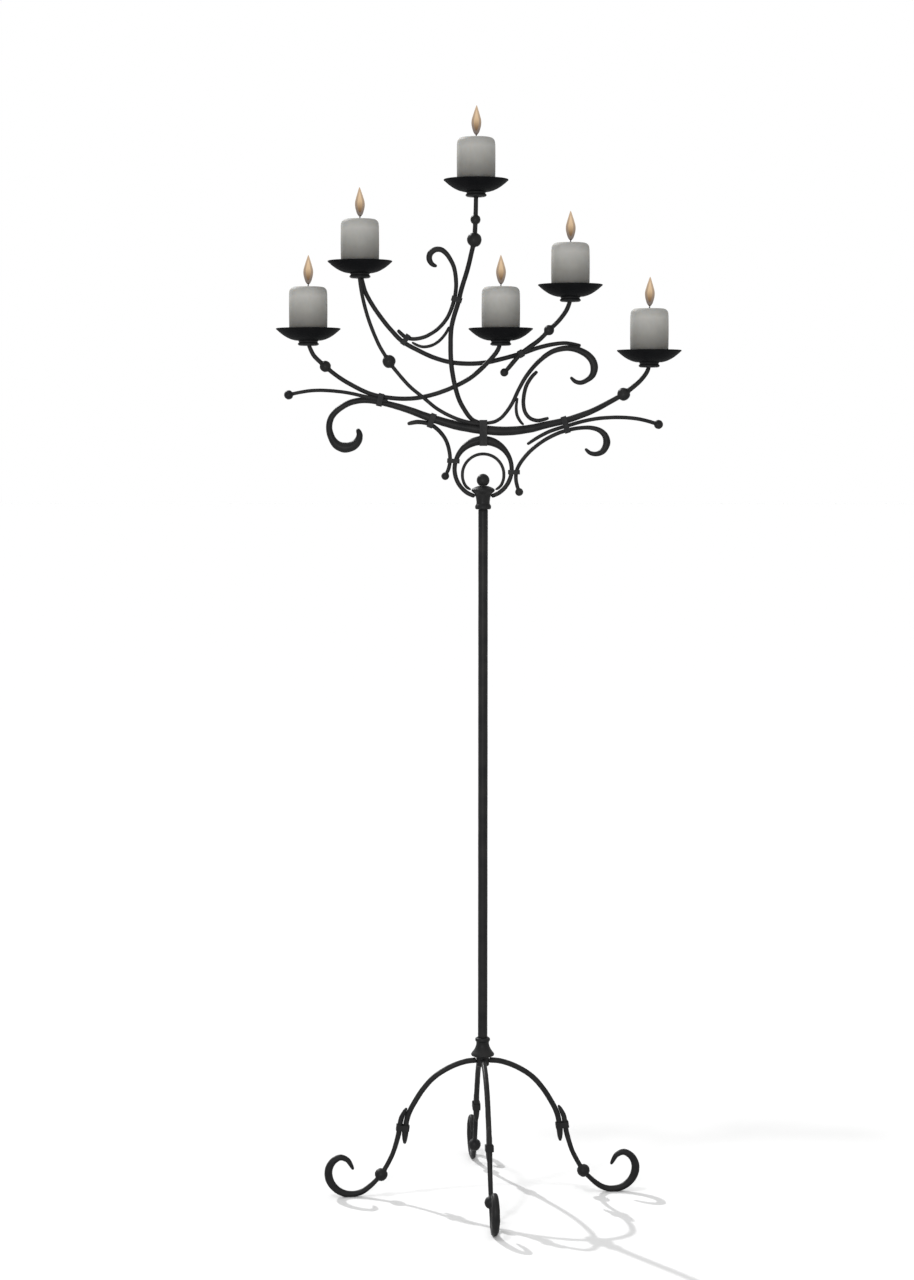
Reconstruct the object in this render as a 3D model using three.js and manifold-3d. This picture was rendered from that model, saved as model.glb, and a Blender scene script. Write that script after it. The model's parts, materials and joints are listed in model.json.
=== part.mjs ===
// Six-light wrought-iron floor candelabrum: four scrolled legs, a plain stem and a head of forged scrolls
// that carries six drip pans with pillar candles. Millimetres, +Z up, the head lies in the XZ plane.
import * as THREE from 'three';
import { mergeVertices } from 'three/addons/utils/BufferGeometryUtils.js';
import Module from 'manifold-3d';

const wasm = await Module();
wasm.setup();

// ---- driving dimensions ----
const GAP = 0.3; // clearance left between pieces that touch
const STEM_RADIUS = 8;
const STEM_BORE = 6;
const STEM_BOTTOM = 271;
const STEM_TOP = 1164;
const LEG_TURN = 4.7; // degrees, the base is turned this much against the head
const FOOT_SIDES = 8; // the foot scroll has a flat facet underneath
const HUB_RADIUS = 11;
const SPIGOT_LENGTH = 62;
const PAN_RADIUS = 53.6;
const PAN_WALL = 1.8;
const BOSS_RADIUS = 17.5;
const BOSS_HEIGHT = 8.3;
const BOSS_DROP = 19.6; // top of the boss below the rim
const SOCKET_RADIUS = 9.4; // recess under the boss that takes the ends of the arms
const SOCKET_DEPTH = 4;
const PRICKET_HEIGHT = 26;
const PRICKET_RADIUS = 2.6;
const CANDLE_RADIUS = 31.6;
const CANDLE_RISE = 70; // top of the candle above the rim of its pan
const CANDLE_SEAT = 12.9; // bottom of the candle below the rim
const CANDLE_EDGE = 8; // radius of the melted edge
const WICK_RADIUS = 1.1;
const WICK_HEIGHT = 5;
const RING_RADIUS = 47.5;
const RING_HEIGHT = 1231; // height of the centre of the outer ring
const INNER_RING_RADIUS = 34.6;
const INNER_RING_HEIGHT = 1221.5;
const MAX_BEND = THREE.MathUtils.degToRad(20); // largest turn between two sections of a bar
const MAX_SPAN = 46; // longest stretch between two sections of a bar
const STRAP = 1.2; // thickness of the collar straps
const COLLAR_REACH = 60; // bars within half of this from the centre of a collar are tied by it

// pans: centre x and height of the rim
const PANS = [
  { x: -290, rim: 1463 },
  { x: -204, rim: 1574 },
  { x: -12, rim: 1707 },
  { x: 29, rim: 1463 },
  { x: 144, rim: 1535 },
  { x: 275, rim: 1427 },
];
const armEnd = (pan) => pan.rim - BOSS_DROP - BOSS_HEIGHT + SOCKET_DEPTH - 1.8;

// ---- materials ----
const iron = new THREE.MeshStandardMaterial({ color: 0x1d1e21, roughness: 0.5, metalness: 0.75 });
const panIron = new THREE.MeshStandardMaterial({ color: 0x17181a, roughness: 0.62, metalness: 0.7 });
const wax = new THREE.MeshStandardMaterial({ color: 0xb3b1a9, roughness: 0.55, metalness: 0 });

const group = new THREE.Group();
const head = new THREE.Group();
const base = new THREE.Group();
base.rotation.z = THREE.MathUtils.degToRad(LEG_TURN);
group.add(head, base);

function place(parent, name, geometry, material) {
  const mesh = new THREE.Mesh(geometry, material.clone());
  mesh.name = name;
  parent.add(mesh);
  return mesh;
}

// ---- shapes ----
// A solid turned about the Z axis from [radius, height] points.
function turned(profile, segments) {
  const points = profile.map(([r, z]) => new THREE.Vector2(r, z));
  const geometry = new THREE.LatheGeometry(points, segments);
  geometry.rotateX(Math.PI / 2);
  return geometry;
}

// Points of a round edge in a [radius, height] profile.
function arc(r0, z0, radius, from, to, steps) {
  const points = [];
  for (let i = 0; i <= steps; i += 1) {
    const angle = THREE.MathUtils.degToRad(from + ((to - from) * i) / steps);
    points.push([r0 + radius * Math.cos(angle), z0 + radius * Math.sin(angle)]);
  }
  return points;
}

// A forged bar: a turned blank with tapers, balls and drawn points, bent along a curve.
// stations are [x, z, diameter, y] along the centreline; beads are { station: diameter };
// tip and tail are 'round', 'blunt' or the diameter of a ball; ground grinds the bar flat at z = 0.
function forged({
  stations, beads = {}, tip = 'round', tail = 'round', sides = 6, phase = 0, ground = false,
}) {
  const centre = stations.map(([x, z, , y = 0]) => new THREE.Vector3(x, y, z));
  const curve = new THREE.CatmullRomCurve3(centre, false, 'centripetal');
  const last = stations.length - 1;
  const per = 24;
  curve.arcLengthDivisions = last * per;
  const lengths = curve.getLengths();
  const total = lengths[last * per];
  const at = (i) => lengths[i * per];

  const sections = [];
  for (let i = 0; i < last; i += 1) {
    const span = at(i + 1) - at(i);
    const turn = curve.getTangent(i / last).angleTo(curve.getTangent((i + 1) / last));
    const steps = Math.max(1, Math.ceil(Math.max(turn / MAX_BEND, span / MAX_SPAN)));
    for (let k = 0; k < steps; k += 1) {
      const s = at(i) + (span * k) / steps;
      const width = THREE.MathUtils.lerp(stations[i][2], stations[i + 1][2], k / steps);
      sections.push([width / 2, s]);
    }
  }
  sections.push([stations[last][2] / 2, total]);

  let profile = sections;
  for (const [station, diameter] of Object.entries(beads)) {
    const s = at(Number(station));
    const radius = diameter / 2;
    const neck = stations[station][2] / 2;
    const reach = Math.sqrt(radius * radius - neck * neck);
    profile = profile.filter(([, p]) => Math.abs(p - s) > reach + 1);
    const low = Math.asin(neck / radius);
    for (let k = 0; k <= 6; k += 1) {
      const angle = low + ((Math.PI - 2 * low) * k) / 6;
      const p = s - radius * Math.cos(angle);
      if (p > 0.5 && p < total - 0.5) profile.push([radius * Math.sin(angle), p]);
    }
  }
  profile.sort((a, b) => a[1] - b[1]);
  profile = endShape(profile, tip, total, false);
  profile = endShape(profile, tail, total, true);

  const outline = profile.map(([r, s]) => new THREE.Vector2(r, s));
  const geometry = new THREE.LatheGeometry(outline, sides, phase);
  const position = geometry.attributes.position;
  const depth = new THREE.Vector3(0, 1, 0);
  for (let i = 0; i < position.count; i += 1) {
    const s = position.getY(i);
    const u = THREE.MathUtils.clamp(s / total, 0, 1);
    const point = curve.getPointAt(u);
    const tangent = curve.getTangentAt(u);
    const side = new THREE.Vector3().crossVectors(depth, tangent).normalize();
    const front = new THREE.Vector3().crossVectors(tangent, side);
    point.addScaledVector(tangent, s - u * total);
    point.addScaledVector(side, -position.getX(i));
    point.addScaledVector(front, position.getZ(i));
    position.setXYZ(i, point.x, point.y, ground ? Math.max(point.z, 0) : point.z);
  }
  return geometry;
}

// Closes a bar's profile at one end.
function endShape(profile, kind, total, atTail) {
  const order = atTail ? [...profile].reverse() : [...profile];
  const along = (d) => (atTail ? total - d : d);
  const neck = order[0][0];
  const radius = typeof kind === 'number' ? kind / 2 : neck;
  let cap;
  if (kind === 'round') {
    cap = [0, 35, 65].map((a) => {
      const angle = THREE.MathUtils.degToRad(a);
      return [radius * Math.sin(angle), along(radius - radius * Math.cos(angle))];
    });
  } else if (kind === 'blunt') {
    cap = [[0, along(0)], [0.72 * radius, along(0)], [radius, along(0.28 * radius)]];
  } else {
    const open = Math.PI - Math.asin(neck / radius);
    cap = [0, 1, 2, 3, 4, 5, 6].map((k) => {
      const angle = (open * k) / 6;
      return [radius * Math.sin(angle), along(-radius * Math.cos(angle))];
    });
  }
  const reach = Math.abs(cap[cap.length - 1][1] - along(0)) + 1;
  const closed = [...cap, ...order.filter(([, s]) => Math.abs(s - along(0)) > reach)];
  return atTail ? closed.reverse() : closed;
}

// A strap wrapped tightly around bars where they pass (x, z); angle is their direction there.
function tie(bars, { x, z, angle, wide }) {
  const frame = new THREE.Matrix4().makeRotationY(-THREE.MathUtils.degToRad(angle));
  frame.setPosition(x, 0, z);
  const back = frame.clone().invert();
  const slab = toSolid(new THREE.BoxGeometry(wide, COLLAR_REACH, COLLAR_REACH));
  const held = new THREE.Box3();
  for (const bar of bars) {
    const { min, max } = toSolid(bar.clone().applyMatrix4(back)).intersect(slab).boundingBox();
    held.expandByPoint(new THREE.Vector3(...min));
    held.expandByPoint(new THREE.Vector3(...max));
  }
  held.expandByScalar(GAP);
  const centre = held.getCenter(new THREE.Vector3());
  const size = held.getSize(new THREE.Vector3());
  const outline = roundedBox(new THREE.Shape(), size.y / 2 + STRAP, size.z / 2 + STRAP, STRAP * 1.3);
  outline.holes.push(squareBox(new THREE.Path(), size.y / 2, size.z / 2));
  const geometry = new THREE.ExtrudeGeometry(outline, { depth: wide, bevelEnabled: false, curveSegments: 2 });
  // outline x becomes Y, outline y becomes Z and the extrusion runs along the bars
  const basis = new THREE.Matrix4().makeBasis(
    new THREE.Vector3(0, 1, 0),
    new THREE.Vector3(0, 0, 1),
    new THREE.Vector3(1, 0, 0),
  );
  geometry.translate(0, 0, -wide / 2);
  geometry.applyMatrix4(basis);
  geometry.translate(0, centre.y, centre.z);
  return geometry.applyMatrix4(frame);
}

function roundedBox(path, w, h, r) {
  path.moveTo(-w + r, -h);
  path.lineTo(w - r, -h);
  path.absarc(w - r, -h + r, r, -Math.PI / 2, 0, false);
  path.lineTo(w, h - r);
  path.absarc(w - r, h - r, r, 0, Math.PI / 2, false);
  path.lineTo(-w + r, h);
  path.absarc(-w + r, h - r, r, Math.PI / 2, Math.PI, false);
  path.lineTo(-w, -h + r);
  path.absarc(-w + r, -h + r, r, Math.PI, 1.5 * Math.PI, false);
  return path;
}

function squareBox(path, w, h) {
  path.moveTo(-w, -h);
  path.lineTo(w, -h);
  path.lineTo(w, h);
  path.lineTo(-w, h);
  path.closePath();
  return path;
}

function toSolid(geometry) {
  const plain = geometry.clone();
  plain.deleteAttribute('normal');
  plain.deleteAttribute('uv');
  const merged = mergeVertices(plain, 1e-3);
  const triangles = [];
  for (let i = 0; i < merged.index.count; i += 3) {
    const corner = [0, 1, 2].map((k) => merged.index.getX(i + k));
    if (new Set(corner).size === 3) triangles.push(...corner);
  }
  return new wasm.Manifold(new wasm.Mesh({
    numProp: 3,
    vertProperties: new Float32Array(merged.attributes.position.array),
    triVerts: new Uint32Array(triangles),
  }));
}

// ---- base ----
// The leg and its foot scroll lie in one upright plane; x is the distance from the stem.
const LEG = {
  stations: [
    [HUB_RADIUS + GAP, 231.5, 9.4], [29, 229.5, 9.2], [56, 220, 9.2], [84, 202, 9.2], [102.6, 181, 9.2],
    [116, 160, 9.2], [124, 145, 9.2], [128.8, 131, 9.3], [131, 117, 9.4], [131.6, 110, 11],
    [132.2, 99, 9], [132.7, 89, 4.8],
  ],
  tip: 'blunt',
};
const FOOT_SCROLL = {
  stations: [
    [129, 151.5, 4], [133.9, 142.6, 7.4], [138.4, 132.3, 8.8], [140.8, 120, 9], [142.2, 110, 9],
    [146, 94, 8.6], [154, 70, 8], [172.6, 37, 8], [191, 17.8, 8.8], [204, 8.6, 9.6], [217, 4.5, 10.4],
    [231, 4.7, 11.2], [244, 9.8, 12], [254.4, 19.2, 13], [261, 32.6, 14], [261.4, 47.4, 13.4], [254, 61, 12],
    [241, 67.8, 10.4], [228, 61.4, 8.6], [219.6, 46.4, 4.8],
  ],
  beads: { 7: 22 },
  sides: FOOT_SIDES,
  phase: Math.PI / FOOT_SIDES,
  ground: true,
};
const LEG_COLLAR = { x: 135.8, z: 117, angle: 97, wide: 10 };

['right', 'back', 'left', 'front'].forEach((side, i) => {
  const quarter = new THREE.Group();
  quarter.rotation.z = (i * Math.PI) / 2;
  base.add(quarter);
  const leg = place(quarter, `leg_${side}`, forged(LEG), iron);
  const foot = place(quarter, `foot_scroll_${side}`, forged(FOOT_SCROLL), iron);
  place(quarter, `leg_collar_${side}`, tie([leg.geometry, foot.geometry], LEG_COLLAR), iron);
});

const hubProfile = [
  [0, 221], [8, 221], [HUB_RADIUS, 223], [HUB_RADIUS, 238.6], [STEM_BORE - GAP, 238.6],
  [STEM_BORE - GAP, STEM_BOTTOM + SPIGOT_LENGTH - 2], [STEM_BORE - 2, STEM_BOTTOM + SPIGOT_LENGTH],
  [0, STEM_BOTTOM + SPIGOT_LENGTH],
];
place(base, 'leg_hub', turned(hubProfile, 16), iron);

const bellProfile = [
  [STEM_BORE, 239], [17, 239], [19.6, 240.4], [19.6, 243], [16.5, 248], [13, 253], [10.8, 259], [10.7, 263],
  [12.4, 266], [12.6, 268.6], [11.4, STEM_BOTTOM - GAP], [STEM_BORE, STEM_BOTTOM - GAP], [STEM_BORE, 239],
];
place(base, 'base_bell', turned(bellProfile, 18), iron);

const tubeProfile = [
  [STEM_BORE, STEM_BOTTOM], [STEM_RADIUS, STEM_BOTTOM], [STEM_RADIUS, STEM_TOP - GAP],
  [STEM_BORE, STEM_TOP - GAP], [STEM_BORE, STEM_BOTTOM],
];
place(base, 'stem_tube', turned(tubeProfile, 16), iron);

// ---- head: bell and finial ----
const NECK_TOP = 1203;
const topBellProfile = [
  [0, STEM_TOP - SPIGOT_LENGTH], [STEM_BORE - 2, STEM_TOP - SPIGOT_LENGTH],
  [STEM_BORE - GAP, STEM_TOP - SPIGOT_LENGTH + 2], [STEM_BORE - GAP, STEM_TOP], [12, STEM_TOP],
  [13.4, 1166], [13.4, 1170], [11.4, 1173], [11.1, 1177], [12.1, 1184], [14.3, 1190], [18.6, 1193.6],
  [19.7, 1196], [18.4, 1198.4], [13.6, 1201], [8.6, NECK_TOP], [0, NECK_TOP],
];
place(head, 'top_bell', turned(topBellProfile, 18), iron);

const FINIAL_RADIUS = 10.8;
const finialProfile = [[0, NECK_TOP + GAP], ...arc(0, 1212.4, FINIAL_RADIUS, -57.4, 90, 7)];
finialProfile[finialProfile.length - 1][0] = 0;
place(head, 'finial', turned(finialProfile, 16), iron);

// ---- head: rings ----
// The ring is thick at the top and thinner towards its ends, which stop against the bell.
function ringStations(radius, height, gapAngle, widthTop, widthEnd, count) {
  const stations = [];
  for (let i = 0; i <= count; i += 1) {
    const share = i / count;
    const angle = THREE.MathUtils.degToRad(-90 - gapAngle - share * (360 - 2 * gapAngle));
    const lift = Math.max(0, Math.sin(angle)) ** 3;
    const width = widthEnd + (widthTop - widthEnd) * lift;
    stations.push([radius * Math.cos(angle), height + radius * Math.sin(angle), width]);
  }
  return stations;
}
const innerStations = [
  [-20.4, 1196.6, 3.2],
  [-25.6, 1199.8, 5],
  ...ringStations(INNER_RING_RADIUS, INNER_RING_HEIGHT, 62, 5.2, 5.2, 12),
  [25.6, 1199.8, 5],
  [20.4, 1196.6, 3.2],
];

// ---- head: forged bars ----
const BARS = {
  ring: {
    stations: ringStations(RING_RADIUS, RING_HEIGHT, 16.5, 15.6, 7.4, 18),
  },
  inner_ring: { stations: innerStations },
  main_bough: {
    stations: [
      [-209, 1298, 7.6], [-205.6, 1289, 10.2], [-207.6, 1279, 13], [-216, 1270, 16], [-230, 1266.5, 17],
      [-243, 1271, 15], [-252, 1283, 12], [-256, 1300, 10.6], [-252, 1317, 10.3], [-239, 1331, 10],
      [-221, 1341, 10], [-198, 1345, 10], [-172, 1342, 10], [-130, 1331, 11.4], [-88, 1316, 13.4],
      [-47, 1304, 14.8], [0, 1296.2, 15.6], [37, 1294, 15.2], [75, 1297.5, 13.8], [108, 1305, 12],
      [137, 1311.5, 11], [185, 1329, 9.4], [224, 1350, 8.6], [233, 1355, 8.4], [243, 1362.5, 8.3],
      [260, 1377, 7.8], [271, 1391, 7.4], [PANS[5].x, armEnd(PANS[5]), 7.4],
    ],
    beads: { 23: 21.8 },
    sides: 8,
  },
  left_arm: {
    stations: [
      [PANS[0].x, armEnd(PANS[0]), 7.4], [-281, 1419, 7.4], [-262, 1401, 7.4], [-245, 1387, 7.4],
      [-225, 1374, 7.4], [-190, 1356.6, 7.4], [-166, 1350.6, 7.4], [-132, 1347.5, 7.4],
      [-105, 1349.5, 7.4], [-75, 1357, 7.5], [-47, 1368, 7.6], [-20, 1383, 7.8], [6, 1406, 7.8],
      [23, 1426, 7.6], [PANS[3].x - 1, armEnd(PANS[3]), 7.6],
    ],
    beads: { 2: 19 },
  },
  left_tendril: {
    stations: [
      [-323, 1354, 6], [-305, 1358, 6], [-284, 1361, 6], [-258, 1361, 6, -2], [-225, 1357.4, 6, -6],
      [-198, 1351.5, 6, -8.6], [-175, 1346.6, 6, -8.8], [-158, 1343.6, 5.4, -8.8],
    ],
    tip: 15.5,
  },
  second_arm: {
    stations: [
      [PANS[1].x - 1, armEnd(PANS[1]), 6.2, -5], [-201, 1522, 6.2, -5], [-194, 1492, 6.2, -5.4],
      [-185, 1465, 6.2, -6], [-172, 1435, 6.2, -7], [-156, 1409, 6.2, -7.6], [-149, 1399, 6.2, -7.8],
      [-123, 1369, 6.2, -8.2], [-100, 1350, 6.2, -8.2], [-75, 1330, 6.2, -8], [-47, 1315.6, 6.2, -7.6],
      [-24, 1308.6, 6.2, -6.6], [-3, 1305.6, 5.6, -6.2],
    ],
    beads: { 5: 22 },
  },
  top_arm: {
    stations: [
      [PANS[2].x, armEnd(PANS[2]), 7.8], [-13, 1642, 7.8], [-15, 1609, 8], [-19, 1590, 8, -0.4],
      [-26, 1561, 8, -1], [-36.4, 1527, 8, -2], [-41.6, 1505, 8, -3.6], [-49, 1481, 8, -5],
      [-53, 1462, 8, -6.4], [-54, 1434, 8, -8], [-53, 1406, 8, -8.3], [-47.5, 1372, 8, -8.3],
      [-39, 1344, 7.8, -5], [-27, 1323, 7.6, 0], [-16, 1311.6, 7.4, 2.6], [-3, 1307.4, 6, 3.6],
    ],
    beads: { 1: 17, 2: 24.4 },
  },
  cross_bar: {
    stations: [
      [PANS[1].x + 2, armEnd(PANS[1]), 7.6, 4.6], [-196, 1525, 7.6, 5], [-183, 1501, 7.6, 6],
      [-166, 1477, 7.6, 7], [-151, 1459, 7.6, 8], [-135, 1443, 7.6, 8], [-105, 1426, 7.6, 8],
      [-80, 1415, 7.6, 8.2], [-54, 1408, 7.6, 8.4], [-20, 1405.6, 7.7, 8.4], [7, 1408, 7.8, 8.4],
      [33, 1414, 7.8, 8], [62, 1422, 7.8, 7.6], [92, 1432, 7.4, 6.6], [115, 1437.4, 7, 5.6],
      [138, 1439.4, 6.4, 5], [162, 1435, 6, 5],
    ],
  },
  crook_scroll: {
    stations: [
      [-76.6, 1565.4, 5.4], [-84, 1568.6, 7.6], [-89, 1576, 9.6], [-88, 1586, 10], [-79, 1593, 9.4],
      [-68, 1592, 8.6],
      [-57, 1581, 7.8], [-48.6, 1564, 7.2, -1], [-45, 1540, 7, -2], [-46, 1521, 6.8, -3],
      [-49.6, 1505, 6.8, -3], [-59, 1482, 6.6, -1], [-74, 1464, 6.6, 2], [-93, 1451.6, 6.6, 5],
      [-112, 1446.6, 6.6, 7], [-128.2, 1448.8, 6.6, 8], [-142.4, 1461.2, 6.2, 8],
    ],
  },
  crook_brace: {
    stations: [
      [-56.4, 1466.6, 4, 1.4], [-62, 1455.6, 5.2, 1.4], [-72, 1444, 5.4, 1], [-85, 1436, 5.4, 4.4],
      [-100, 1433.4, 5.2, 7.6], [-111, 1436.8, 4.6, 8], [-118.6, 1441, 3.6, 8],
    ],
  },
  right_scroll: {
    stations: [
      [4, 1306.8, 6], [19, 1309.6, 6.2], [33, 1319, 6.3], [47, 1338, 6.4], [60, 1365, 6.6],
      [73, 1387, 7], [93, 1410, 7.8], [114, 1425, 8.6], [134, 1430.6, 9.4], [152, 1429.6, 10.4],
      [168, 1423, 11.6], [180, 1412, 12.6], [184, 1400, 13], [181.6, 1387.4, 11], [173, 1379, 8.8],
      [162, 1374, 7.8], [152, 1376.4, 6.8], [144.6, 1383.4, 5],
    ],
  },
  right_curl: {
    stations: [
      [89.8, 1393, 6], [80.4, 1383.4, 6.4], [71, 1367.4, 6.6], [66.8, 1346, 6.6], [69, 1327, 6.6],
      [78, 1315.2, 6.6], [92, 1311.4, 6.4], [109, 1315.6, 5.6],
    ],
  },
  right_brace: {
    stations: [[57, 1349, 4], [54.8, 1335, 5], [56.2, 1320.6, 5.4], [62, 1309.6, 5], [67.4, 1304.2, 4]],
  },
  upper_right_arm: {
    stations: [
      [PANS[4].x, armEnd(PANS[4]), 7.6], [138, 1494, 7.6], [126, 1477.4, 7.6], [109, 1460.6, 7.6],
      [91, 1443, 7.6, -0.2], [77, 1433, 7.6, -0.4], [62, 1421.4, 7.6, -0.8], [48, 1405.6, 7.6, -0.8],
      [40.4, 1396.6, 7.2, -0.8], [35, 1391, 7, -0.8],
    ],
    beads: { 3: 17.2 },
    tail: 14,
  },
  right_tendril: {
    stations: [
      [291, 1305, 6.4], [275, 1310, 6.4], [258, 1314, 6.4], [230, 1316.6, 6.4], [192, 1315, 6.4],
      [165, 1310, 6.4], [144, 1304, 6.4], [129, 1299.8, 6.4], [108, 1292.4, 6.4], [91, 1283.6, 6.2],
      [73, 1272, 5.2],
    ],
    tip: 15.3,
  },
  right_bracket: {
    stations: [
      [169.4, 1265, 5], [177, 1258.2, 6.8], [188, 1256, 8.2], [199, 1261, 10.4], [205.4, 1274.6, 12.4],
      [202, 1287.6, 10.6], [191, 1296.4, 8.4], [174, 1299.8, 7], [156, 1298.6, 6.6], [140, 1295.4, 6.6],
      [124, 1290.2, 6.6], [107, 1282, 6.6], [91, 1271.6, 6.6], [75, 1257.6, 6.6], [60.6, 1239, 6.6],
      [55.2, 1226, 6.5], [54.6, 1214, 6.5], [56.4, 1204, 6.5], [60, 1193, 6.2],
    ],
    tail: 13.4,
  },
  left_bracket: {
    stations: [
      [-126, 1306, 6.4], [-110, 1309, 7.6], [-97, 1307.8, 7.4], [-86, 1304.2, 7.2], [-75, 1296, 7],
      [-63.6, 1282, 6.8], [-57.4, 1266, 6.6], [-55, 1246, 6.5], [-57.4, 1232, 6.5], [-63, 1219.4, 6.2],
    ],
    tail: 13.4,
  },
};
const shapes = {};
for (const [name, blank] of Object.entries(BARS)) {
  shapes[name] = place(head, name, forged(blank), iron).geometry;
}

// ---- head: collars, each tied around the bars it names ----
const COLLARS = {
  centre_collar: {
    x: 0.4, z: 1291.5, angle: 0, wide: 13,
    bars: ['main_bough', 'ring', 'second_arm', 'top_arm', 'right_scroll'],
  },
  left_collar: {
    x: -170.6, z: 1346.5, angle: -14, wide: 9, bars: ['main_bough', 'left_arm', 'left_tendril'],
  },
  crook_collar_upper: { x: -43.6, z: 1511, angle: 74, wide: 8.6, bars: ['top_arm', 'crook_scroll'] },
  crook_collar_lower: { x: -128.6, z: 1446, angle: -34, wide: 8.4, bars: ['cross_bar', 'crook_scroll'] },
  upper_right_collar: { x: 62.6, z: 1421.6, angle: 30, wide: 8.6, bars: ['upper_right_arm', 'cross_bar'] },
  right_collar: {
    x: 137, z: 1304, angle: 17, wide: 9.2, bars: ['main_bough', 'right_tendril', 'right_bracket'],
  },
  right_ring_collar: { x: 51.2, z: 1225.8, angle: 90, wide: 7.4, bars: ['ring', 'right_bracket'] },
  left_bracket_collar: { x: -86, z: 1309.6, angle: -20, wide: 9.2, bars: ['main_bough', 'left_bracket'] },
  left_ring_collar: { x: -50.9, z: 1244.6, angle: 86, wide: 7.4, bars: ['ring', 'left_bracket'] },
};
for (const [name, { bars, ...spot }] of Object.entries(COLLARS)) {
  place(head, name, tie(bars.map((bar) => shapes[bar]), spot), iron);
}

// ---- pans and candles ----
const panProfile = [
  [0, PRICKET_HEIGHT - BOSS_DROP + PAN_WALL], [PRICKET_RADIUS, -BOSS_DROP + PAN_WALL + 5],
  [PRICKET_RADIUS, -BOSS_DROP + PAN_WALL], [22, -17.6], [34, -12.2], [45, -4.6], [50.4, 0.2],
  [51.8, 1], [PAN_RADIUS, 0.4], [PAN_RADIUS, -1.2], [46.2, -6.8], [35, -14.6], [23, -BOSS_DROP],
  [BOSS_RADIUS - 0.8, -BOSS_DROP], [BOSS_RADIUS, -BOSS_DROP - 1.6],
  [BOSS_RADIUS, -BOSS_DROP - BOSS_HEIGHT + 1.4], [BOSS_RADIUS - 1.6, -BOSS_DROP - BOSS_HEIGHT],
  [SOCKET_RADIUS, -BOSS_DROP - BOSS_HEIGHT], [SOCKET_RADIUS, SOCKET_DEPTH - BOSS_DROP - BOSS_HEIGHT],
  [0, SOCKET_DEPTH - BOSS_DROP - BOSS_HEIGHT],
].reverse();
const HOLE_RADIUS = PRICKET_RADIUS + GAP;
const HOLE_TOP = PRICKET_HEIGHT - BOSS_DROP + PAN_WALL + 1;
const candleProfile = [
  [0, HOLE_TOP], [HOLE_RADIUS, HOLE_TOP - 3], [HOLE_RADIUS, -CANDLE_SEAT],
  [CANDLE_RADIUS - 1, -CANDLE_SEAT], [CANDLE_RADIUS, -CANDLE_SEAT + 1],
  ...arc(CANDLE_RADIUS - CANDLE_EDGE, CANDLE_RISE - CANDLE_EDGE, CANDLE_EDGE, 0, 90, 4),
  [WICK_RADIUS, CANDLE_RISE - 1], [WICK_RADIUS, CANDLE_RISE + WICK_HEIGHT], [0, CANDLE_RISE + WICK_HEIGHT],
];
PANS.forEach((pan, i) => {
  place(head, `pan_${i + 1}`, turned(panProfile, 20), panIron).position.set(pan.x, 0, pan.rim);
  place(head, `candle_${i + 1}`, turned(candleProfile, 16), wax).position.set(pan.x, 0, pan.rim);
});

// The origin is under the middle of the whole object, on the floor.
group.updateMatrixWorld(true);
const box = new THREE.Box3().setFromObject(group, true);
group.position.set(-(box.min.x + box.max.x) / 2, -(box.min.y + box.max.y) / 2, 0);

export default group;
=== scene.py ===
"""Looks of a six-light wrought-iron floor candelabrum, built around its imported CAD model.

Metres, +Z up. Outlines are lists of (radius, height) in millimetres.
"""
import json
import math

import bmesh
import bpy
import numpy as np
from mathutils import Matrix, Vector, noise


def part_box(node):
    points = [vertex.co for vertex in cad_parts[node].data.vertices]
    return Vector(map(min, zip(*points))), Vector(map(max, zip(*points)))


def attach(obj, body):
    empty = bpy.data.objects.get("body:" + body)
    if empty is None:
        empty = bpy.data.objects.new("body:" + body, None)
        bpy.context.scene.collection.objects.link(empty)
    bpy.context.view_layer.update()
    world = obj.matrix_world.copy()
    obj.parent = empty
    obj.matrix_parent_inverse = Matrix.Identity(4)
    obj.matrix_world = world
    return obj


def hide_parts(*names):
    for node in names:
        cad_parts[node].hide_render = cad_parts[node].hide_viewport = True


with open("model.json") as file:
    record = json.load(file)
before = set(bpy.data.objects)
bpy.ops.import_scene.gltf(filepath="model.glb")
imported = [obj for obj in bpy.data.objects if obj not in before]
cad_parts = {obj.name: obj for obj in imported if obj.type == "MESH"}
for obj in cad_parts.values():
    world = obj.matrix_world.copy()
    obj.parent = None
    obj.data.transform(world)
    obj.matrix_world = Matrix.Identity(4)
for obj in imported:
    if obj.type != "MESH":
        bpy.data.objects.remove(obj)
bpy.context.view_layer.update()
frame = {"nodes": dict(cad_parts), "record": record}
NODES = frame["nodes"]
BODY_OF = {n: body for body, names in frame["record"]["behaviour"]["bodies"].items() for n in names}
SLOT_OF = {part["node"]: part["material_slot"] for part in frame["record"]["subparts"]}
MM = 0.001
TURNED = ("stem_tube", "leg_hub", "base_bell", "top_bell", "finial")
BAR_SIDES = 20
BAR_STEP = 1.6 * MM  # between the sections of a forged bar
CURVE_STEPS = 12  # between two sections of the CAD bar
TURNED_SIDES = 72
WAX_SIDES = 96
HAMMERED = 0.1 * MM  # unevenness of turned iron


def axis_of(node):
    """(x, y) of the upright axis through a turned node."""
    low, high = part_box(node)
    return (low[0] + high[0]) / 2, (low[1] + high[1]) / 2


STEM_X, STEM_Y = axis_of("stem_tube")


# ---------------------------------------------------------------- materials
def node_material(name):
    """A new material with one Principled shader."""
    material = bpy.data.materials.new(name)
    material.use_nodes = True
    tree = material.node_tree
    tree.nodes.clear()
    output = tree.nodes.new("ShaderNodeOutputMaterial")
    shader = tree.nodes.new("ShaderNodeBsdfPrincipled")
    tree.links.new(shader.outputs["BSDF"], output.inputs["Surface"])
    return material, tree, shader


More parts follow.
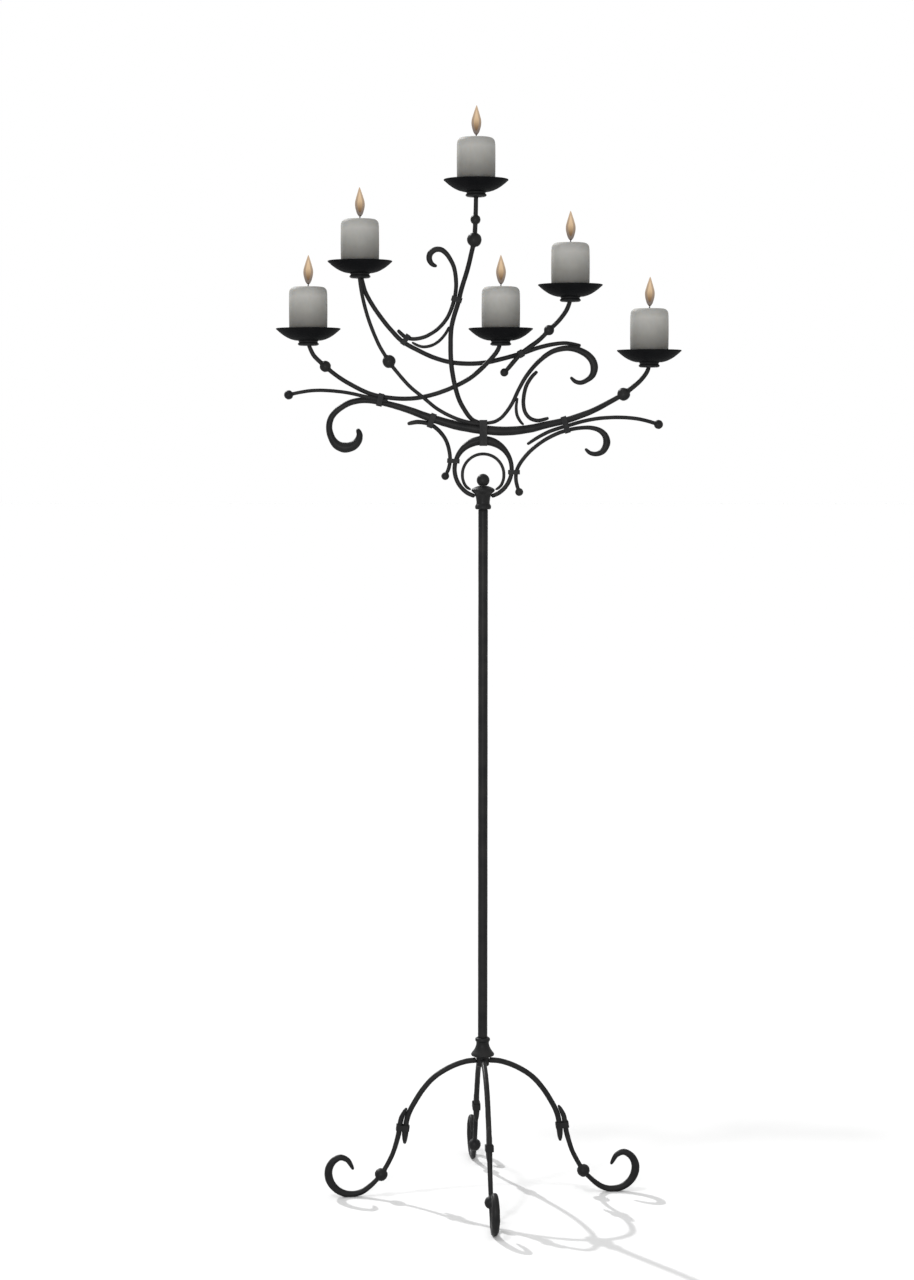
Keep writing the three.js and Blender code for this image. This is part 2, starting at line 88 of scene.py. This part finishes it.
def place_noise(tree, coords, scale, detail=4.0, rough=0.55):
    """A noise value at the given coordinates."""
    tex = tree.nodes.new("ShaderNodeTexNoise")
    tex.inputs["Scale"].default_value = scale
    tex.inputs["Detail"].default_value = detail
    tex.inputs["Roughness"].default_value = rough
    tree.links.new(coords, tex.inputs["Vector"])
    return tex.outputs["Fac"]


def ramp(tree, value, stops):
    """A colour ramp; stops are (position, grey or (r, g, b))."""
    node = tree.nodes.new("ShaderNodeValToRGB")
    elements = node.color_ramp.elements
    while len(elements) < len(stops):
        elements.new(0.5)
    for element, (position, colour) in zip(elements, stops):
        element.position = position
        rgb = (colour,) * 3 if isinstance(colour, float) else colour
        element.color = (*rgb, 1.0)
    tree.links.new(value, node.inputs["Fac"])
    return node.outputs["Color"]


def bump(tree, height, strength, distance, below=None):
    """A normal bent by a height value, on top of the normal below."""
    node = tree.nodes.new("ShaderNodeBump")
    node.inputs["Strength"].default_value = strength
    node.inputs["Distance"].default_value = distance
    tree.links.new(height, node.inputs["Height"])
    if below is not None:
        tree.links.new(below, node.inputs["Normal"])
    return node.outputs["Normal"]


def make_iron(name, dark, light, rough_low, rough_high, marks, gloss):
    """Blackened iron: hammer marks, fine scale, and patches of a lighter finish."""
    material, tree, shader = node_material(name)
    coords = tree.nodes.new("ShaderNodeTexCoord").outputs["Object"]
    patches = place_noise(tree, coords, 38.0, 5.0, 0.6)
    scale_grain = place_noise(tree, coords, 900.0, 3.0, 0.6)
    colour = ramp(tree, patches, [(0.34, dark), (0.7, light)])
    roughness = ramp(tree, scale_grain, [(0.3, rough_low), (0.75, rough_high)])
    tree.links.new(colour, shader.inputs["Base Color"])
    tree.links.new(roughness, shader.inputs["Roughness"])
    hammer = tree.nodes.new("ShaderNodeTexVoronoi")
    hammer.feature = "SMOOTH_F1"
    hammer.inputs["Scale"].default_value = 150.0
    hammer.inputs["Smoothness"].default_value = 0.7
    tree.links.new(coords, hammer.inputs["Vector"])
    dents = bump(tree, hammer.outputs["Distance"], marks, 0.5 * MM)
    grain = bump(tree, scale_grain, 0.22, 0.12 * MM, dents)
    tree.links.new(grain, shader.inputs["Normal"])
    shader.inputs["Metallic"].default_value = 0.0
    shader.inputs["Specular IOR Level"].default_value = gloss
    return material


def make_wax():
    """Ivory wax with faint pouring rings and a cloudy tone; its colour is painted darker below and lighter
    near the top, as painted shade and painted light.
    """
    material, tree, shader = node_material("wax")
    coords = tree.nodes.new("ShaderNodeTexCoord").outputs["Object"]
    split = tree.nodes.new("ShaderNodeSeparateXYZ")
    tree.links.new(coords, split.inputs["Vector"])
    # painted shade and light: the height up the candle picks a darker colour low down by the pan and a
    # lighter one near the top
    height = tree.nodes.new("ShaderNodeMapRange")
    height.inputs["From Min"].default_value = -12 * MM
    height.inputs["From Max"].default_value = 72 * MM
    tree.links.new(split.outputs["Z"], height.inputs["Value"])
    cloud = place_noise(tree, coords, 55.0, 4.0, 0.6)
    painted_shade_and_tone = tree.nodes.new("ShaderNodeMath")
    painted_shade_and_tone.operation = "MULTIPLY_ADD"
    painted_shade_and_tone.inputs[1].default_value = 0.16
    tree.links.new(cloud, painted_shade_and_tone.inputs[0])
    tree.links.new(height.outputs["Result"], painted_shade_and_tone.inputs[2])
    # painted shade low on the candle and painted light from above and from the flame near the top; the last
    # stop is painted a little darker so the sunlit shoulder does not turn white
    stops = [
        (0.02, (0.07, 0.067, 0.062)), (0.5, (0.16, 0.157, 0.146)), (0.85, (0.265, 0.262, 0.247)),
        (1.0, (0.215, 0.213, 0.202)),
    ]
    tree.links.new(ramp(tree, painted_shade_and_tone.outputs["Value"], stops), shader.inputs["Base Color"])
    rings = tree.nodes.new("ShaderNodeTexWave")
    rings.bands_direction = "Z"
    rings.inputs["Scale"].default_value = 120.0
    rings.inputs["Distortion"].default_value = 3.0
    rings.inputs["Detail"].default_value = 2.0
    tree.links.new(coords, rings.inputs["Vector"])
    soft = bump(tree, rings.outputs["Fac"], 0.08, 0.15 * MM)
    grain = bump(tree, place_noise(tree, coords, 420.0), 0.12, 0.2 * MM, soft)
    tree.links.new(grain, shader.inputs["Normal"])
    shader.inputs["Roughness"].default_value = 0.6
    shader.inputs["Specular IOR Level"].default_value = 0.08
    shader.inputs["Subsurface Weight"].default_value = 0.25
    shader.inputs["Subsurface Radius"].default_value = (0.9, 0.6, 0.35)
    shader.inputs["Subsurface Scale"].default_value = 6 * MM
    return material


def make_melt():
    """Clear, wet wax in the pool round the wick."""
    material, tree, shader = node_material("melted_wax")
    coords = tree.nodes.new("ShaderNodeTexCoord").outputs["Object"]
    cloud = place_noise(tree, coords, 90.0)
    stops = [(0.3, (0.44, 0.40, 0.32)), (0.7, (0.58, 0.54, 0.45))]
    tree.links.new(ramp(tree, cloud, stops), shader.inputs["Base Color"])
    shader.inputs["Roughness"].default_value = 0.08
    shader.inputs["Subsurface Weight"].default_value = 0.4
    shader.inputs["Subsurface Scale"].default_value = 8 * MM
    return material


def make_wick():
    """A braided wick, charred black."""
    material, tree, shader = node_material("charred_wick")
    coords = tree.nodes.new("ShaderNodeTexCoord").outputs["Object"]
    braid = tree.nodes.new("ShaderNodeTexWave")
    braid.bands_direction = "DIAGONAL"
    braid.inputs["Scale"].default_value = 500.0
    tree.links.new(coords, braid.inputs["Vector"])
    stops = [(0.2, (0.004, 0.004, 0.005)), (0.9, (0.02, 0.018, 0.017))]
    tree.links.new(ramp(tree, braid.outputs["Fac"], stops), shader.inputs["Base Color"])
    tree.links.new(bump(tree, braid.outputs["Fac"], 0.6, 0.2 * MM), shader.inputs["Normal"])
    shader.inputs["Roughness"].default_value = 0.9
    return material


def make_flame(name, stops, low, high, glow, alpha):
    """A flame's colour by height above the wick; low and high are its ends in the piece's own frame."""
    material, tree, shader = node_material(name)
    coords = tree.nodes.new("ShaderNodeTexCoord").outputs["Object"]
    split = tree.nodes.new("ShaderNodeSeparateXYZ")
    tree.links.new(coords, split.inputs["Vector"])
    height = tree.nodes.new("ShaderNodeMapRange")
    height.inputs["From Min"].default_value = low
    height.inputs["From Max"].default_value = high
    tree.links.new(split.outputs["Z"], height.inputs["Value"])
    colour = ramp(tree, height.outputs["Result"], stops)
    tree.links.new(colour, shader.inputs["Emission Color"])
    shader.inputs["Base Color"].default_value = (0.02, 0.012, 0.006, 1.0)
    shader.inputs["Emission Strength"].default_value = glow
    shader.inputs["Specular IOR Level"].default_value = 0.0
    shader.inputs["Roughness"].default_value = 1.0
    shader.inputs["Alpha"].default_value = alpha
    return material


IRON = make_iron(
    "blackened_iron", dark=(0.0085, 0.0087, 0.0092), light=(0.0155, 0.0152, 0.0148),
    rough_low=0.36, rough_high=0.56, marks=0.5, gloss=0.06,
)
PAN_IRON = make_iron(
    "pan_black", dark=(0.0022, 0.0024, 0.0028), light=(0.004, 0.004, 0.0044),
    rough_low=0.55, rough_high=0.7, marks=0.1, gloss=0.03,
)
WAX = make_wax()
MELT = make_melt()
WICK = make_wick()


# ---------------------------------------------------------------- pieces
def add_piece(name, verts, faces, material, body, at=(0, 0, 0), replaces=()):
    """A smooth mesh piece that rides on a body. verts are in metres, around the point at."""
    mesh = bpy.data.meshes.new(name)
    mesh.from_pydata([tuple(v) for v in verts], [], faces)
    mesh.update()
    bm = bmesh.new()
    bm.from_mesh(mesh)
    bmesh.ops.recalc_face_normals(bm, faces=bm.faces)
    bm.to_mesh(mesh)
    bm.free()
    mesh.polygons.foreach_set("use_smooth", [True] * len(mesh.polygons))
    piece = bpy.data.objects.new(name, mesh)
    bpy.context.scene.collection.objects.link(piece)
    piece.location = at
    bpy.context.view_layer.update()
    mesh.materials.append(material)
    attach(piece, body)
    if replaces:
        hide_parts(*replaces)
    return piece


def lathe(profile, sides=TURNED_SIDES, wobble=0.0, seed=0.0):
    """Vertices and faces of a solid turned about Z from (radius, height) points in metres."""
    verts, faces, rings = [], [], []
    for r, z in profile:
        if r < 1e-7:
            rings.append([len(verts)])
            verts.append((0.0, 0.0, z))
            continue
        ring = []
        for k in range(sides):
            a = 2 * math.pi * k / sides
            x, y = math.cos(a), math.sin(a)
            extra = wobble * noise.noise(Vector((x * 1.3, y * 1.3, z * 18 + seed)))
            ring.append(len(verts))
            verts.append(((r + extra) * x, (r + extra) * y, z))
        rings.append(ring)
    join_rings(faces, rings, sides)
    return verts, faces


def join_rings(faces, rings, sides):
    """Faces between neighbouring rings; a ring of one vertex is a pole."""
    for a, b in zip(rings, rings[1:]):
        for k in range(sides):
            n = (k + 1) % sides
            if len(a) == 1 and len(b) == 1:
                break
            if len(a) == 1:
                faces.append((a[0], b[n], b[k]))
            elif len(b) == 1:
                faces.append((a[k], a[n], b[0]))
            else:
                faces.append((a[k], a[n], b[n], b[k]))


def rounded(profile, cut, steps=4):
    """An outline with each inner corner rounded: cut is the length taken off each side."""
    out = [profile[0]]
    for before, corner, after in zip(profile, profile[1:], profile[2:]):
        p, c, q = (np.array(v, float) for v in (before, corner, after))
        to_p, to_q = p - c, q - c
        reach = min(cut, 0.45 * np.linalg.norm(to_p), 0.45 * np.linalg.norm(to_q))
        start = c + to_p / np.linalg.norm(to_p) * reach
        end = c + to_q / np.linalg.norm(to_q) * reach
        for k in range(steps + 1):
            t = k / steps
            out.append(tuple((1 - t) ** 2 * start + 2 * t * (1 - t) * c + t ** 2 * end))
    out.append(profile[-1])
    return out


# ---------------------------------------------------------------- forged bars
def sections_of(node):
    """Centres and radii of a CAD bar's sections, from one end to the other, read from its mesh."""
    bm = bmesh.new()
    bm.from_mesh(NODES[node].data)
    bmesh.ops.remove_doubles(bm, verts=bm.verts, dist=0.02 * MM)
    bm.verts.ensure_lookup_table()
    points = np.array([v.co[:] for v in bm.verts])
    near = [[e.other_vert(v).index for e in v.link_edges] for v in bm.verts]
    bm.free()
    layers = []
    for start, first in enumerate(near):
        count = len(first)
        if count not in (6, 8):  # the pole at a bar's end has one neighbour for each side of the bar
            continue
        run = [[start], sorted(first)]
        seen = {start, *first}
        while len(run[-1]) == count:
            grown = sorted({n for v in run[-1] for n in near[v]} - seen)
            if len(grown) != count and not (len(grown) == 1 and len(run) > 3):
                break
            run.append(grown)
            seen.update(grown)
        if len(run) > len(layers):
            layers = run
    centres = np.array([points[layer].mean(axis=0) for layer in layers])
    radii = np.array([
        np.linalg.norm(points[layer] - points[layer].mean(axis=0), axis=1).mean() for layer in layers
    ])
    return centres, radii


def smooth_path(points, per):
    """A centripetal Catmull-Rom curve through points, with per steps between neighbours."""
    ends = [2 * points[0] - points[1], *points, 2 * points[-1] - points[-2]]
    out, at = [], []
    for i in range(1, len(ends) - 2):
        p = ends[i - 1:i + 3]
        t = [0.0]
        for a, b in zip(p, p[1:]):
            t.append(t[-1] + max(math.sqrt(np.linalg.norm(b - a)), 1e-5))
        for k in range(per):
            u = t[1] + (t[2] - t[1]) * k / per
            a1 = (t[1] - u) / (t[1] - t[0]) * p[0] + (u - t[0]) / (t[1] - t[0]) * p[1]
            a2 = (t[2] - u) / (t[2] - t[1]) * p[1] + (u - t[1]) / (t[2] - t[1]) * p[2]
            a3 = (t[3] - u) / (t[3] - t[2]) * p[2] + (u - t[2]) / (t[3] - t[2]) * p[3]
            b1 = (t[2] - u) / (t[2] - t[0]) * a1 + (u - t[0]) / (t[2] - t[0]) * a2
            b2 = (t[3] - u) / (t[3] - t[1]) * a2 + (u - t[1]) / (t[3] - t[1]) * a3
            out.append((t[2] - u) / (t[2] - t[1]) * b1 + (u - t[1]) / (t[2] - t[1]) * b2)
            at.append(i - 1 + k / per)
    out.append(points[-1])
    at.append(len(points) - 1.0)
    return np.array(out), np.array(at)


def monotone(x, y, where):
    """Values of the monotone cubic through (x, y) at the places where."""
    h, d = np.diff(x), np.diff(y) / np.diff(x)
    slope = np.zeros(len(x))
    for i in range(1, len(x) - 1):
        if d[i - 1] * d[i] > 0:
            w1, w2 = 2 * h[i] + h[i - 1], h[i] + 2 * h[i - 1]
            slope[i] = (w1 + w2) / (w1 / d[i - 1] + w2 / d[i])
    slope[0], slope[-1] = d[0], d[-1]
    i = np.clip(np.searchsorted(x, where, side="right") - 1, 0, len(x) - 2)
    t = (where - x[i]) / h[i]
    return ((1 + 2 * t) * (1 - t) ** 2 * y[i] + t * (1 - t) ** 2 * h[i] * slope[i]
            + t * t * (3 - 2 * t) * y[i + 1] + t * t * (t - 1) * h[i] * slope[i + 1])


def forge(node, seed):
    """A CAD bar made again with a round, smooth and slightly hammered section."""
    centres, radii = sections_of(node)
    fine, at = smooth_path(centres, CURVE_STEPS)
    run = np.concatenate([[0.0], np.cumsum(np.linalg.norm(np.diff(fine, axis=0), axis=1))])
    order = np.arange(len(centres))
    section_run = np.interp(order, at, run) + 1e-7 * order  # never two sections at one place
    total = run[-1]
    s = np.linspace(0.0, total, int(total / BAR_STEP) + 1)
    tip = np.array([0.02, 0.08, 0.2, 0.4, 0.7]) * BAR_STEP
    s = np.unique(np.concatenate([s, tip, total - tip]))
    path = np.stack([np.interp(s, run, fine[:, k]) for k in range(3)], axis=1)
    radius = np.sqrt(np.maximum(monotone(section_run, radii ** 2, s), 0.0))
    tangent = np.gradient(path, s, axis=0)
    tangent /= np.linalg.norm(tangent, axis=1)[:, None]
    side = np.cross(tangent[0], (0.3, 1.0, 0.2))
    verts, faces, rings = [], [], []
    for i, (p, t, r) in enumerate(zip(path, tangent, radius)):
        side = side - t * np.dot(side, t)
        side /= np.linalg.norm(side)
        front = np.cross(t, side)
        if i in (0, len(s) - 1):
            rings.append([len(verts)])
            verts.append(tuple(p))
            continue
        ring = []
        for k in range(BAR_SIDES):
            a = 2 * math.pi * k / BAR_SIDES
            out = math.cos(a) * side + math.sin(a) * front
            spot = Vector((s[i] * 75 + seed, math.cos(a) * 0.9, math.sin(a) * 0.9))
            hammered = 1.0 + 0.035 * noise.noise(spot) + 0.012 * noise.noise(spot * 3.1)
            ring.append(len(verts))
            verts.append(tuple(p + out * r * min(hammered, 1.02)))
        rings.append(ring)
    join_rings(faces, rings, BAR_SIDES)
    if node.startswith("foot_scroll"):
        verts = [(x, y, max(z, 0.0)) for x, y, z in verts]
    return add_piece(f"{node}_forged", verts, faces, IRON, BODY_OF[node], replaces=(node,))


def forge_bars():
    """Every iron node that is not turned and not a collar."""
    bars = [n for n in NODES if SLOT_OF[n] == "iron" and "collar" not in n and n not in TURNED]
    for number, bar in enumerate(sorted(bars)):
        forge(bar, 17.0 * number)


# ---------------------------------------------------------------- turned pieces
def turn(node, name, profile, material, wobble=0.0, sides=TURNED_SIDES, lift=0.0, replaces=True):
    """A turned piece on a CAD node's own axis; profile heights count from lift above its lowest point."""
    x, y = axis_of(node)
    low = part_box(node)[0][2]
    verts, faces = lathe([(r * MM, z * MM) for r, z in profile], sides, wobble)
    names = (node,) if replaces else ()
    return add_piece(name, verts, faces, material, BODY_OF[node], (x, y, low + lift), names)


def stem():
    """The plain drawn tube between the two bells."""
    low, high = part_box("stem_tube")
    length = (high[2] - low[2]) / MM
    steps = 180
    chamfer = 0.8
    bore = 6.02
    outer = [(8, chamfer + (length - 2 * chamfer) * k / steps) for k in range(steps + 1)]
    profile = [(bore, 0), (7.4, 0), *outer, (7.4, length), (bore, length), (bore, 0)]
    turn("stem_tube", "stem_tube_drawn", profile, IRON, wobble=0.12 * MM, sides=48)


def bells():
    """The turned parts: both bells, the hub that the legs meet, and the finial."""
    base = [
        (6.1, 0), (17.2, 0), (19.5, 1.2), (19.6, 3.6), (18.2, 5.6), (15.8, 8.6), (13.4, 12.4), (11.6, 16.6),
        (10.75, 20.8), (10.7, 23.6), (11.3, 25), (12.5, 26.2), (12.7, 28.4), (12.1, 30.4), (10.4, 31.6),
        (8.6, 31.7), (6.1, 31.7), (6.1, 0),
    ]
    turn("base_bell", "base_bell_turned", rounded(base, 0.9), IRON, wobble=HAMMERED)
    spigot = (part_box("leg_hub")[1][2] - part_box("leg_hub")[0][2]) / MM
    hub = [
        (0, 0), (8.2, 0), (11, 2.2), (11, 6), (11, 10.4), (11, 14), (10.6, 15.6), (10.9, 17.6),
        (5.6, 17.6), (5.6, spigot - 2), (4, spigot), (0, spigot),
    ]
    turn("leg_hub", "leg_hub_turned", rounded(hub, 0.7), IRON, wobble=HAMMERED)
    foot = (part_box("stem_tube")[1][2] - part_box("top_bell")[0][2]) / MM
    top = [
        (0, 0), (4, 0), (5.6, 2), (5.6, foot + 0.4), (11.9, foot + 0.4), (13.3, foot + 2.2),
        (13.4, foot + 5.6), (12.2, foot + 8.2), (11.2, foot + 9.6), (11.1, foot + 13.2),
        (12.1, foot + 20.2), (14.2, foot + 26), (18.4, foot + 29.6), (19.6, foot + 31.2),
        (19.5, foot + 33.2), (17.6, foot + 35.2), (13.4, foot + 37.4), (10, foot + 38.6),
        (8.6, foot + 39.3), (0, foot + 39.3),
    ]
    turn("top_bell", "top_bell_turned", rounded(top, 1.0), IRON, wobble=HAMMERED)
    low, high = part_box("finial")
    height = (high[2] - low[2]) / MM
    radius = (high[0] - low[0]) / 2 / MM
    start = math.asin((height - radius) / radius)
    ball = [(radius * math.cos(a), height - radius + radius * math.sin(a))
            for a in np.linspace(-start, math.pi / 2, 40)]
    ball[-1] = (0, ball[-1][1])
    turn("finial", "finial_ball", [(0, 0), *ball], IRON, wobble=0.14 * MM)


# ---------------------------------------------------------------- pans, candles, flames
RIM = 53.6
BOSS_TOP = -19.6
BOSS_BOTTOM = -27.9
SOCKET_TOP = -24.0


def pan(number):
    """Dish, boss and pricket on one CAD pan. Heights count from the rim."""
    node = f"pan_{number}"
    lift = -BOSS_BOTTOM * MM
    dish = [
        (0, BOSS_TOP + 1.8), (22, -17.4), (29, -15), (36, -11.2), (42, -7), (47, -2.6), (50.2, 0.2),
        (51.4, 0.9), (52.8, 0.9), (RIM, 0.2), (53.5, -0.8), (51.4, -2.6), (46.6, -6.9), (41, -11.1),
        (35, -14.7), (29, -17.4), (22, -19.3), (0, BOSS_TOP),
    ]
    turn(node, f"{node}_dish", rounded(dish, 1.4, 3), PAN_IRON, lift=lift, wobble=0.12 * MM)
    boss = [
        (0, BOSS_TOP - 0.05), (16.4, BOSS_TOP - 0.05), (16.6, -20.4), (15.6, -21.4), (15.4, -22.2),
        (16.4, -23.2), (17.5, -24.6), (17.5, -25.8), (16.4, -27.0), (14.2, BOSS_BOTTOM), (9.5, BOSS_BOTTOM),
        (9.4, SOCKET_TOP), (0, SOCKET_TOP),
    ]
    turn(node, f"{node}_boss", rounded(boss, 0.7), IRON, lift=lift, wobble=HAMMERED, replaces=False)
    spike = [
        (0, BOSS_TOP + 1.9), (4.2, BOSS_TOP + 1.9), (3.4, BOSS_TOP + 2.6), (2.55, BOSS_TOP + 4), (2.3, -8),
        (1.2, 2), (0.3, 7.6), (0, 8),
    ]
    turn(node, f"{node}_pricket", rounded(spike, 0.4), IRON, lift=lift, sides=32, replaces=False)


WAX_HEIGHT = 82.4
WAX_RADIUS = 31.3
SHOULDER = 8.6
SIDE_STEPS = 30


def candle(number):
    """A pillar candle with soft shoulders, a shallow pool of melted wax, its wick and its flame."""
    node = f"candle_{number}"
    body = BODY_OF[node]
    x, y = axis_of(node)
    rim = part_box(f"pan_{number}")[0][2] - BOSS_BOTTOM * MM
    base = (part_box(node)[0][2] - rim) / MM
    top = base + WAX_HEIGHT
    seed = 31.0 * number
    at = (x, y, rim)
    side = [(WAX_RADIUS + 0.6 * math.sin(math.pi * k / (SIDE_STEPS + 4)),
             base + 1.2 + (WAX_HEIGHT - 10.6) * k / SIDE_STEPS) for k in range(SIDE_STEPS)]
    shoulder = [(31.2 - SHOULDER + SHOULDER * math.cos(a), top - 9.4 + 8.8 * math.sin(a))
                for a in np.linspace(0.0, math.pi / 2, 20)]
    pool = [(20.8, top - 0.68), (18.8, top - 1.1), (17.2, top - 2.0), (8, top - 2.8), (0, top - 3.0)]
    pricket_hole = [(0, 9.0), (2.9, 6.0), (2.9, base)]
    profile = [*pricket_hole, (30.2, base), *side, *shoulder, *pool]
    verts, faces = lathe([(r * MM, z * MM) for r, z in profile], WAX_SIDES, 0.14 * MM, seed)
    add_piece(f"{node}_wax", verts, faces, WAX, body, at, (node,))
    melt(node, body, at, top)
    wick(node, body, at, top, seed)
    flame(node, body, (x + 0.3 * MM, y, rim + (top + 3.4) * MM), seed)


def melt(node, body, at, top):
    """The pool of clear wax round the wick."""
    outline = [
        (0, top - 2.7), (15.4, top - 2.3), (17.0, top - 1.75), (17.2, top - 1.5), (16.4, top - 1.62),
        (15, top - 1.7), (1.6, top - 1.7), (1.2, top - 1.4), (0, top - 1.4),
    ]
    verts, faces = lathe([(r * MM, z * MM) for r, z in outline], 64)
    add_piece(f"{node}_melt", verts, faces, MELT, body, at)


def wick(node, body, at, top, seed):
    """A thin, slightly bent braid that thins towards its tip."""
    sides, last = 12, 14
    lean = (0.9 + 0.25 * math.sin(seed)) * 1.1
    rings, verts, faces = [], [], []
    for k in range(last + 1):
        t = k / last
        centre = Vector((lean * t * t, -0.4 * t * t, top - 2.4 + 8.0 * t)) * MM
        thickness = (1.15 - 0.35 * t) * MM
        ring = []
        for j in range(sides):
            a = 2 * math.pi * j / sides + 0.9 * t
            r = thickness * (1 + 0.12 * math.cos(3 * a + 5 * t))
            ring.append(len(verts))
            verts.append(tuple(centre + Vector((r * math.cos(a), r * math.sin(a), 0))))
        rings.append(ring)
    verts.append((0, 0, (top - 2.5) * MM))
    verts.append((lean * MM, -0.4 * MM, (top + 5.9) * MM))
    rings = [[len(verts) - 2], *rings, [len(verts) - 1]]
    join_rings(faces, rings, sides)
    add_piece(f"{node}_wick", verts, faces, WICK, body, at)


FLAME_HEIGHT = 48.5
# (radius in millimetres, share of the height)
FLAME_OUTLINE = [
    (0, 0), (1.6, 0.01), (3.4, 0.05), (5.0, 0.11), (6.4, 0.2), (7.6, 0.3), (8.1, 0.41), (7.6, 0.52),
    (6.3, 0.62), (4.9, 0.72), (3.3, 0.82), (1.9, 0.91), (0.9, 0.965), (0.4, 0.99), (0, 1.0),
]
FLAME_STOPS = [
    (0.0, (0.03, 0.017, 0.01)), (0.16, (0.085, 0.048, 0.026)), (0.38, (0.22, 0.138, 0.074)),
    (0.62, (0.38, 0.255, 0.145)), (0.9, (0.52, 0.35, 0.2)), (1.0, (0.5, 0.33, 0.19)),
]
CORE_STOPS = [
    (0.0, (0.10, 0.058, 0.032)), (0.25, (0.34, 0.225, 0.13)), (0.6, (0.86, 0.66, 0.44)),
    (1.0, (0.9, 0.7, 0.5)),
]
FLAME_SHELL = make_flame("flame_shell", FLAME_STOPS, 0.0, FLAME_HEIGHT * MM, 1.0, 0.66)
FLAME_CORE = make_flame("flame_core", CORE_STOPS, 4 * MM, 40 * MM, 1.5, 0.9)


def flame(node, body, at, seed):
    """A flame of two skins: a dim outer one and a brighter core."""
    sway = 0.7 * math.sin(seed * 1.7)

    def outline(scale_r, low, height):
        profile = [(r * scale_r * MM, (low + z * height) * MM) for r, z in smooth_outline]
        verts, faces = lathe(profile, 40)
        bent = []
        for vx, vy, vz in verts:
            t = vz / (FLAME_HEIGHT * MM)
            bent.append((vx + sway * MM * t * t, vy, vz))
        return bent, faces

    tall = 20  # brings the shares of the height to the size of the radii for the smoothing
    points, _ = smooth_path([np.array((r, z * tall, 0.0)) for r, z in FLAME_OUTLINE], 4)
    smooth_outline = [(max(r, 0.0), z / tall) for r, z, _ in points]
    smooth_outline[0] = (0.0, 0.0)
    smooth_outline[-1] = (0.0, 1.0)
    verts, faces = outline(1.0, 0.0, FLAME_HEIGHT)
    add_piece(f"{node}_flame", verts, faces, FLAME_SHELL, body, at)
    verts, faces = outline(0.52, 7.0, 34.0)
    add_piece(f"{node}_flame_core", verts, faces, FLAME_CORE, body, at)


# ---------------------------------------------------------------- collars
def finish_collar(node):
    """A CAD collar with its sharp edges eased, in the same iron."""
    collar = NODES[node]
    weld = collar.modifiers.new("weld", "WELD")
    weld.merge_threshold = 0.02 * MM
    bevel = collar.modifiers.new("eased_edges", "BEVEL")
    bevel.width = 0.55 * MM
    bevel.segments = 3
    bevel.limit_method = "ANGLE"
    bevel.angle_limit = math.radians(50)
    collar.data.materials.clear()
    collar.data.materials.append(IRON)


# ---------------------------------------------------------------- floor, light and camera
def floor():
    """A wide pale floor just under the feet."""
    size = 40.0
    mesh = bpy.data.meshes.new("floor")
    corners = [(-size, -size, 0), (size, -size, 0), (size, size, 0), (-size, size, 0)]
    mesh.from_pydata(corners, [], [(0, 1, 2, 3)])
    plane = bpy.data.objects.new("floor", mesh)
    bpy.context.scene.collection.objects.link(plane)
    plane.location.z = -0.5 * MM
    material, _, shader = node_material("pale_floor")
    shader.inputs["Base Color"].default_value = (0.52, 0.52, 0.52, 1)
    shader.inputs["Roughness"].default_value = 1.0
    shader.inputs["Specular IOR Level"].default_value = 0.0
    mesh.materials.append(material)


def sun(name, direction, strength, angle):
    """A sun that shines along direction; angle is its width in degrees."""
    light = bpy.data.lights.new(name, "SUN")
    light.energy = strength
    light.angle = math.radians(angle)
    lamp = bpy.data.objects.new(name, light)
    lamp.rotation_euler = Vector(direction).to_track_quat("-Z", "Y").to_euler()
    bpy.context.scene.collection.objects.link(lamp)


def area(name, at, target, size, watts):
    """A round area light aimed at target."""
    light = bpy.data.lights.new(name, "AREA")
    light.shape = "DISK"
    light.size = size
    light.energy = watts
    lamp = bpy.data.objects.new(name, light)
    lamp.location = at
    lamp.rotation_euler = (Vector(target) - Vector(at)).to_track_quat("-Z", "Y").to_euler()
    bpy.context.scene.collection.objects.link(lamp)


def studio():
    """White surroundings, a sun from behind on the left, a high soft one, and a fill from the front."""
    world = bpy.data.worlds.new("studio")
    world.use_nodes = True
    background = world.node_tree.nodes["Background"]
    background.inputs["Color"].default_value = (1, 1, 1, 1)
    background.inputs["Strength"].default_value = 1.0
    bpy.context.scene.world = world
    bpy.context.scene.view_settings.view_transform = "Standard"
    sun("back_sun", (0.471, -0.647, -0.602), 3.6, 1.0)
    sun("high_sun", (0.281, 0.244, -0.927), 0.8, 5.0)
    area("front_fill", (STEM_X - 0.5, STEM_Y - 3.2, 1.1), (STEM_X, STEM_Y, 1.2), 0.8, 62)


def camera():
    """Eye height 1.3 m, 4.33 m in front of the stem, looking slightly down and to the left of it."""
    lens = bpy.data.cameras.new("camera")
    lens.lens = 73.1
    lens.sensor_width = 36.0
    view = bpy.data.objects.new("camera", lens)
    view.location = (STEM_X, STEM_Y - 4.333, 1.3006)
    view.rotation_euler = (math.radians(90 - 4.683), 0, math.radians(0.575))
    bpy.context.scene.collection.objects.link(view)
    bpy.context.scene.camera = view


forge_bars()
stem()
bells()
for index in range(1, 7):
    pan(index)
    candle(index)
for name in NODES:
    if "collar" in name:
        finish_collar(name)
floor()
studio()
camera()
